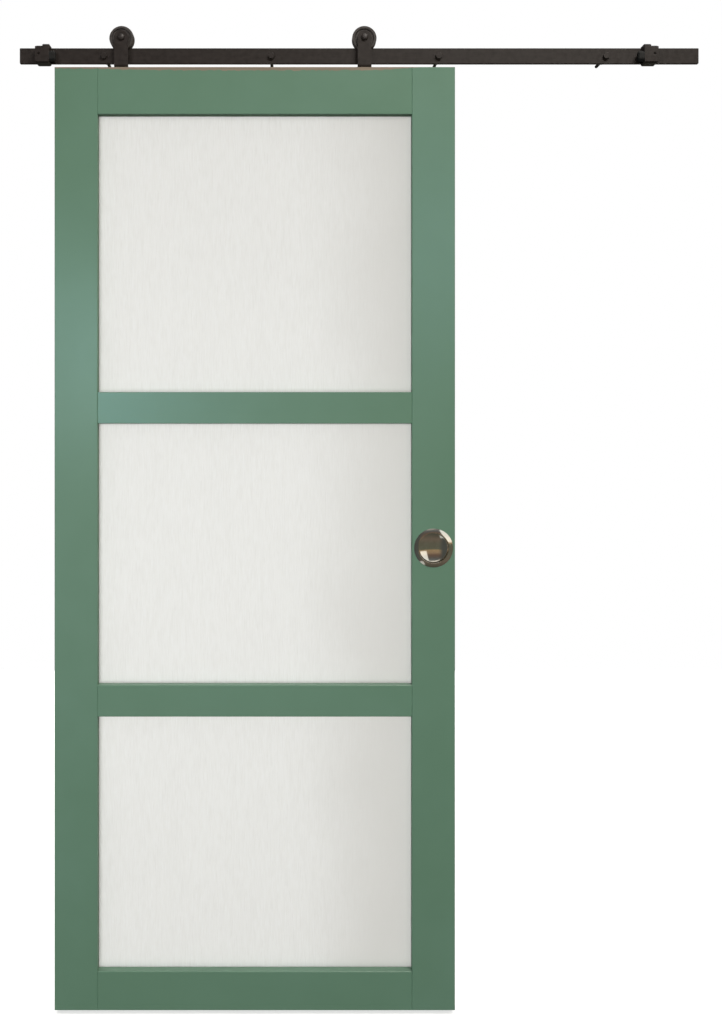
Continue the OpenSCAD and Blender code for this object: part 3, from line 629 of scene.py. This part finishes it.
def add_finishes():
    """Dresses every node."""
    upright_brush, level_brush = (420, 420, 7), (7, 420, 420)
    beads = [name for name in NODES if name.endswith("_bead")]
    upright = [name for name in beads if "_left_" in name or "_right_" in name]
    level = [name for name in beads if name not in upright]
    stiles = ["left_stile", "right_stile"]
    rails = ["upper_mid_rail", "lower_mid_rail", "bottom_rail"]
    dress(stiles + upright, green_paint("stile_paint", upright_brush, bare_top=True))
    dress(rails + level, green_paint("rail_paint", level_brush))
    dress(["top_rail"], green_paint("top_rail_paint", level_brush, bare_top=True))
    for name in PANES:
        dress([name], frosted_glass(name))

    dress(["track_bar"], black_iron("track_iron", grain=(18, 420, 420), tone=(0.94, 0.94, 0.94)))
    dress(["left_wheel", "right_wheel"], black_iron("wheel_iron", tone=(2.4, 2.75, 2.85)))
    parts = ("_hanger_strap", "_axle_bolt", "_stop_body", "_stop_screw")
    fittings = [side + part for side in SIDES for part in parts]
    dress(["track_spacers", "track_screws"] + fittings, black_iron("fitting_iron"))

    zinc = plain_steel("zinc_steel", colour=(0.58, 0.58, 0.56), roughness=0.34)
    bright = plain_steel("bearing_steel", colour=(0.66, 0.66, 0.66), roughness=0.18)
    for side in SIDES:
        dress([side + part for part in ("_foot_screws", "_axle_nut", "_axle_collars")], zinc)
        dress([side + "_bearing_" + part for part in ("inner_ring", "balls", "outer_ring")], bright)

    bumper_rubber = moulded_rubber("bumper_rubber", colour=(0.012, 0.012, 0.012))
    dress(["left_stop_bumper", "right_stop_bumper"], bumper_rubber)
    gasket_rubber = moulded_rubber("gasket_rubber", colour=(0.26, 0.26, 0.25))
    dress(["upper_gasket", "middle_gasket", "lower_gasket"], gasket_rubber)
    dress(["rail_dowels"], dowel_wood())
    dress(["front_flush_pull", "rear_flush_pull"], polished_nickel())


# Fine pieces

def add_piece(name, verts, faces, body, material, replaced):
    """Closed piece with smooth faces and sharp edges that rides on a body in place of some nodes."""
    sharp_edge = math.radians(32)
    mesh = bpy.data.meshes.new(name)
    mesh.from_pydata(verts, [], faces)
    shell = bmesh.new()
    shell.from_mesh(mesh)
    bmesh.ops.recalc_face_normals(shell, faces=shell.faces)
    shell.to_mesh(mesh)
    shell.free()
    for face in mesh.polygons:
        face.use_smooth = True
    mesh.set_sharp_from_angle(angle=sharp_edge)
    piece = bpy.data.objects.new(name, mesh)
    bpy.context.collection.objects.link(piece)
    mesh.materials.append(material)
    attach(piece, body)
    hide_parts(*replaced)
    return piece


def add_rings(verts, faces, rings, steps):
    """Joins rings of points into a skin, closed by a fan at both ends."""
    start = len(verts)
    for ring in rings:
        verts.extend(ring)
    for i in range(len(rings) - 1):
        for j in range(steps):
            a, b = start + i * steps + j, start + i * steps + (j + 1) % steps
            faces.append((a, b, b + steps, a + steps))
    for first, flip in ((start, True), (start + (len(rings) - 1) * steps, False)):
        centre = sum((Vector(verts[first + j]) for j in range(steps)), Vector()) / steps
        verts.append(tuple(centre))
        hub = len(verts) - 1
        for j in range(steps):
            a, b = first + j, first + (j + 1) % steps
            faces.append((b, a, hub) if flip else (a, b, hub))


def turns(steps):
    """Angles of the steps round a circle."""
    return [2 * math.pi * j / steps for j in range(steps)]


def circle(x, y, z, radius, steps):
    """Points of a circle about an axis along Y."""
    return [(x + radius * math.sin(t), y, z + radius * math.cos(t)) for t in turns(steps)]


def hexagon_head(x, front, depth, across, steps):
    """Rings of a hexagon head whose front corners are turned to a cone."""
    flat_r = across / 2
    rings = [[], [], []]
    for t in turns(steps):
        from_flat = (t + math.pi / 6) % (math.pi / 3) - math.pi / 6
        reach = flat_r / math.cos(from_flat)
        section = ((flat_r, front), (reach, front + reach - flat_r), (reach, front + depth))
        for ring, (radius, y) in zip(rings, section):
            ring.append((x + radius * math.sin(t), y, radius * math.cos(t)))
    return rings


def threaded_shank(x, head_back, length, shank_r, crest_r, steps):
    """Rings of a plain shank that turns into a coarse thread behind the wall plane, with a gimlet point."""
    pitch, point, rows_per_turn = 0.0032, 0.007, 10
    run_in, tip, root, ridge_w = 0.0008, 0.04, 0.72, 0.22
    rings = [circle(x, y, 0, shank_r, steps) for y in (head_back, -run_in)]
    rows = int(length / pitch * rows_per_turn)
    for row in range(rows + 1):
        y = length * row / rows
        taper = min(1.0, max(tip, (length - y) / point))
        ring = []
        for t in turns(steps):
            phase = (y / pitch - t / (2 * math.pi)) % 1
            ridge = max(0.0, 1 - abs(phase - 0.5) / ridge_w)
            radius = crest_r * taper * (root + (1 - root) * ridge)
            ring.append((x + radius * math.sin(t), y, radius * math.cos(t)))
        rings.append(ring)
    return rings


def add_wall_screws(material):
    """Hexagon-head wall screws with a rolled thread, in place of the plain ones."""
    steps, count, shank_r, crest_r = 36, 4, 0.004, 0.0036
    low, high = corners("track_screws")
    across = high.z - low.z
    corner_r = across / math.sqrt(3)
    bar_front = corners("track_bar")[0].y
    first, last = low.x + corner_r, high.x - corner_r
    verts, faces = [], []
    for i in range(count):
        x = first + (last - first) * i / (count - 1)
        add_rings(verts, faces, hexagon_head(x, low.y, bar_front - low.y, across, steps), steps)
        add_rings(verts, faces, threaded_shank(x, bar_front, high.y, shank_r, crest_r, steps), steps)
    add_piece("wall_screws", verts, faces, "track", material, ["track_screws"])


def pull_profile():
    """Half section of the spun pull from the middle of its bowl round to the middle of its back.

    Each point is a radius and a height above the leaf's face, in metres.
    """
    # Sizes repeated from the part's source
    depth, slope, wall, fillet = 0.013, math.radians(25), 0.0012, 0.004
    rim_t, crown, crown_arc = 0.0008, 0.0022, math.radians(60)
    steps = 24
    corner_r = PULL_MOUTH_R - fillet
    bowl_r = (corner_r + fillet * math.sin(slope)) / math.sin(slope)
    corner_depth = depth - bowl_r * (1 - math.cos(slope)) - fillet * math.cos(slope)

    def cup_line(out):
        line = []
        for i in range(1, steps + 1):
            a, r = slope * i / steps, bowl_r + out
            line.append((r * math.sin(a), bowl_r - depth - r * math.cos(a)))
        for i in range(1, steps + 1):
            a, r = (math.pi / 2 - slope) * (1 - i / steps), fillet + out
            line.append((corner_r + r * math.cos(a), -corner_depth - r * math.sin(a)))
        return line

    lip_r, lip_y = PULL_MOUTH_R + PULL_LIP, rim_t + crown - PULL_LIP
    quarter = [math.pi / 2 * i / steps for i in range(steps)]
    lip_line = [(lip_r - PULL_LIP * math.cos(a), lip_y + PULL_LIP * math.sin(a)) for a in quarter]
    rise = crown / math.sin(crown_arc)
    flange = []
    for i in range(steps + 1):
        t = 1 - i / steps
        radius = PULL_FLANGE_R - t * (PULL_FLANGE_R - lip_r)
        flange.append((radius, rim_t + rise * math.sin(crown_arc * t)))
    under = [(PULL_FLANGE_R, 0.0), (PULL_MOUTH_R + wall, 0.0)]
    return cup_line(0) + lip_line + flange + under + list(reversed(cup_line(wall)))


def add_pull(name, node, face_y, outward, material):
    """Spun flush pull with a smooth mirror surface, in place of the faceted node."""
    steps = 160
    centre = sum(corners(node), Vector()) / 2
    rings = [
        circle(centre.x, face_y + outward * height, centre.z, radius, steps)
        for radius, height in pull_profile()
    ]
    verts, faces = [], []
    add_rings(verts, faces, rings, steps)
    return add_piece(name, verts, faces, "door", material, [node])


add_camera()
add_world()
add_finishes()
add_wall_screws(NODES["track_spacers"].data.materials[0])
nickel = NODES["front_flush_pull"].data.materials[0]
pulls = [
    add_pull("front_pull", "front_flush_pull", LEAF_FRONT, -1, nickel),
    add_pull("rear_pull", "rear_flush_pull", LEAF_BACK, 1, nickel),
]
add_floor()
add_lights(pulls)
